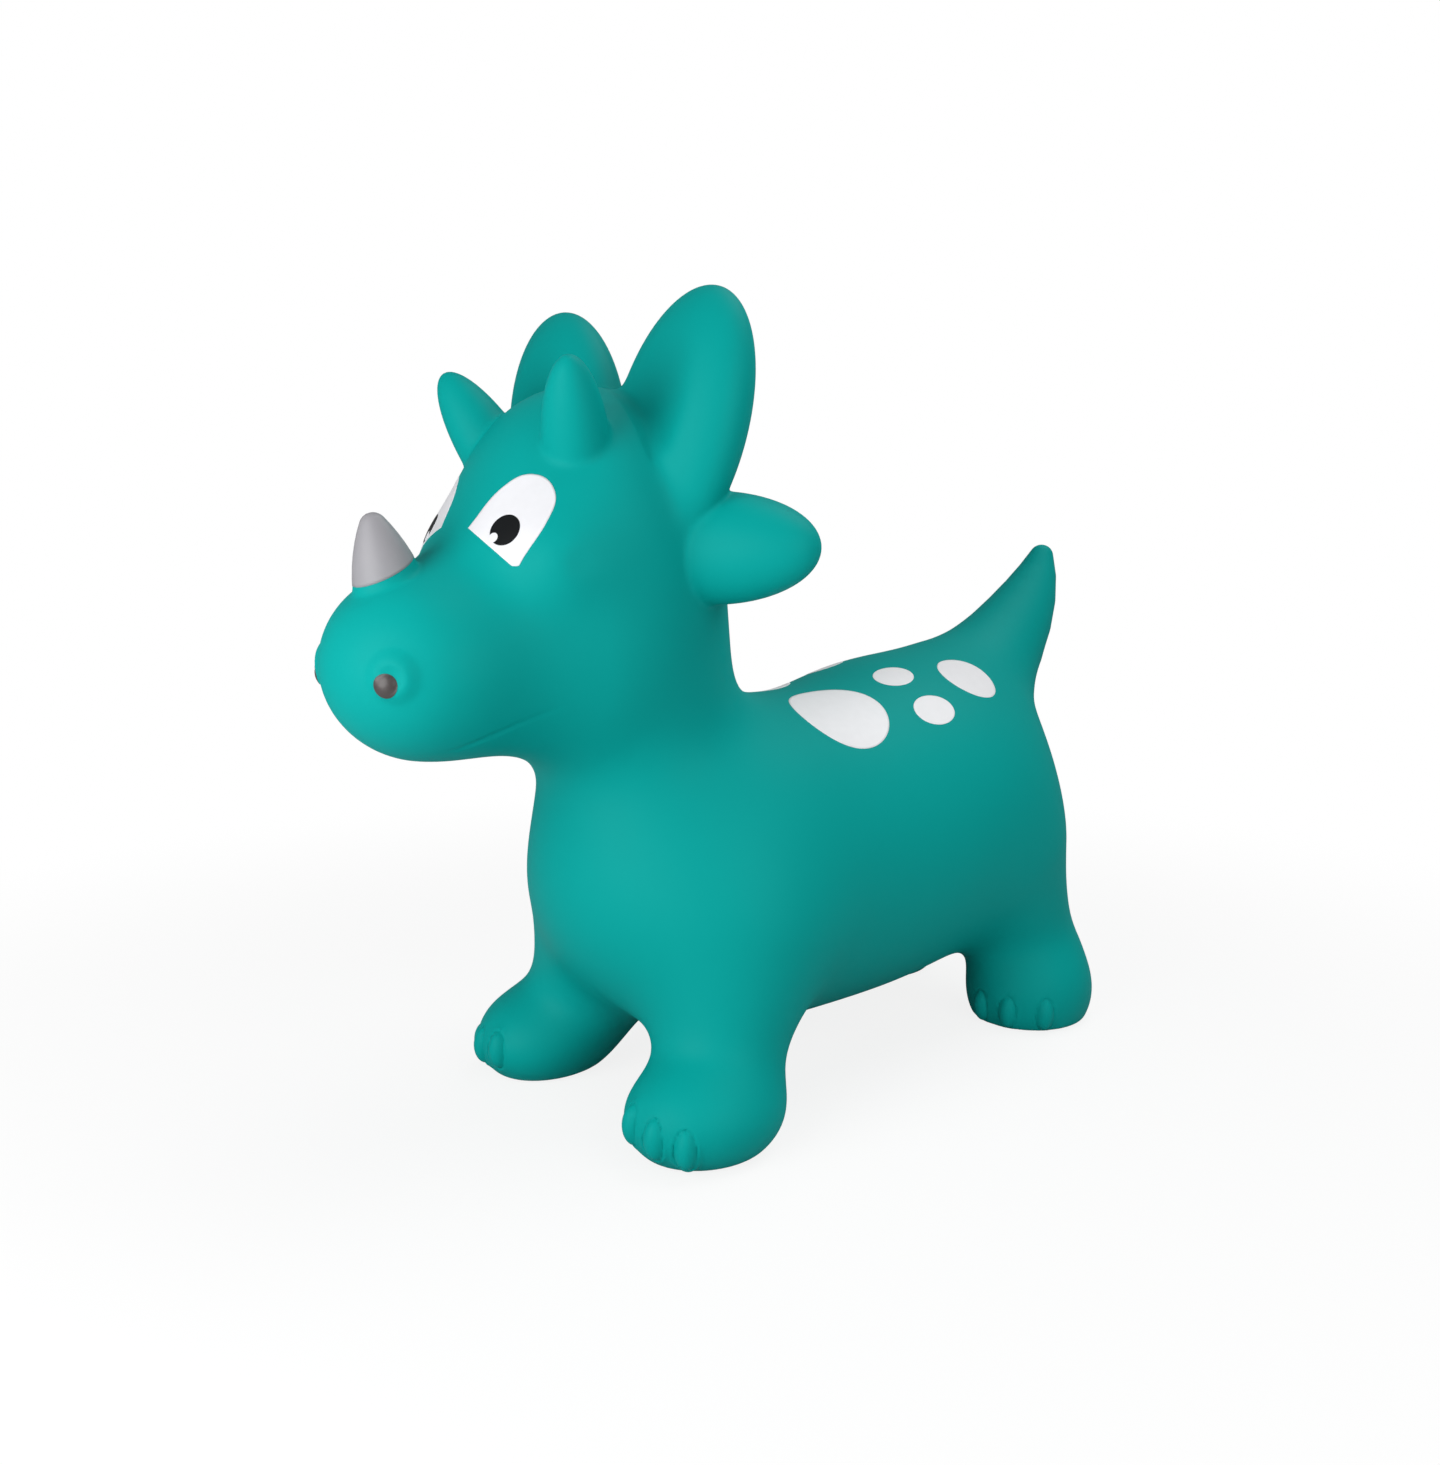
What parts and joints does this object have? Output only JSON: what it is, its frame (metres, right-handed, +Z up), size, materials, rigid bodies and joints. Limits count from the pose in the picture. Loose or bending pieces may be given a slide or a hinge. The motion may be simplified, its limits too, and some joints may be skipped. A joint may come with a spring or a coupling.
{
  "type": "animal hopper",
  "caption": "Inflatable ride-on hopper toy shaped as a horned, frilled animal on stubby legs, with a seat dip between neck and upturned tail and a stoppered air valve in its belly",
  "frame": {"origin": "centre of the box that holds the toy, on the floor under its soles", "axes": "+Z up, the face towards -Y and the tail towards +Y, the animal's own left at +X"},
  "size_m": [0.266, 0.6151, 0.4916],
  "materials": {
    "teal_vinyl": "satin soft vinyl",
    "white_plastic": "satin",
    "white_print": "matt ink",
    "black_print": "matt ink",
    "grey_print": "matt ink",
    "dark_print": "matt ink"
  },
  "bodies": {
    "toy": {"skin": "teal_vinyl", "valve_seat": "white_plastic", "eye_white_left": "white_print", "eye_white_right": "white_print", "pupil_left": "black_print", "pupil_right": "black_print", "spot_large_left": "white_print", "spot_large_right": "white_print", "spot_small_left": "white_print", "spot_small_right": "white_print", "spot_middle_left": "white_print", "spot_middle_right": "white_print", "spot_rear_left": "white_print", "spot_rear_right": "white_print", "nose_horn_coat": "grey_print", "nostril_coat_left": "dark_print", "nostril_coat_right": "dark_print"},
    "stopper": {"valve_plug": "white_plastic"}
  },
  "joints": [
    {"name": "plug_pull", "type": "slide", "parent": "toy", "child": "stopper", "axis": [0, 0, -1], "range_m": [0, 0.02]}
  ]
}
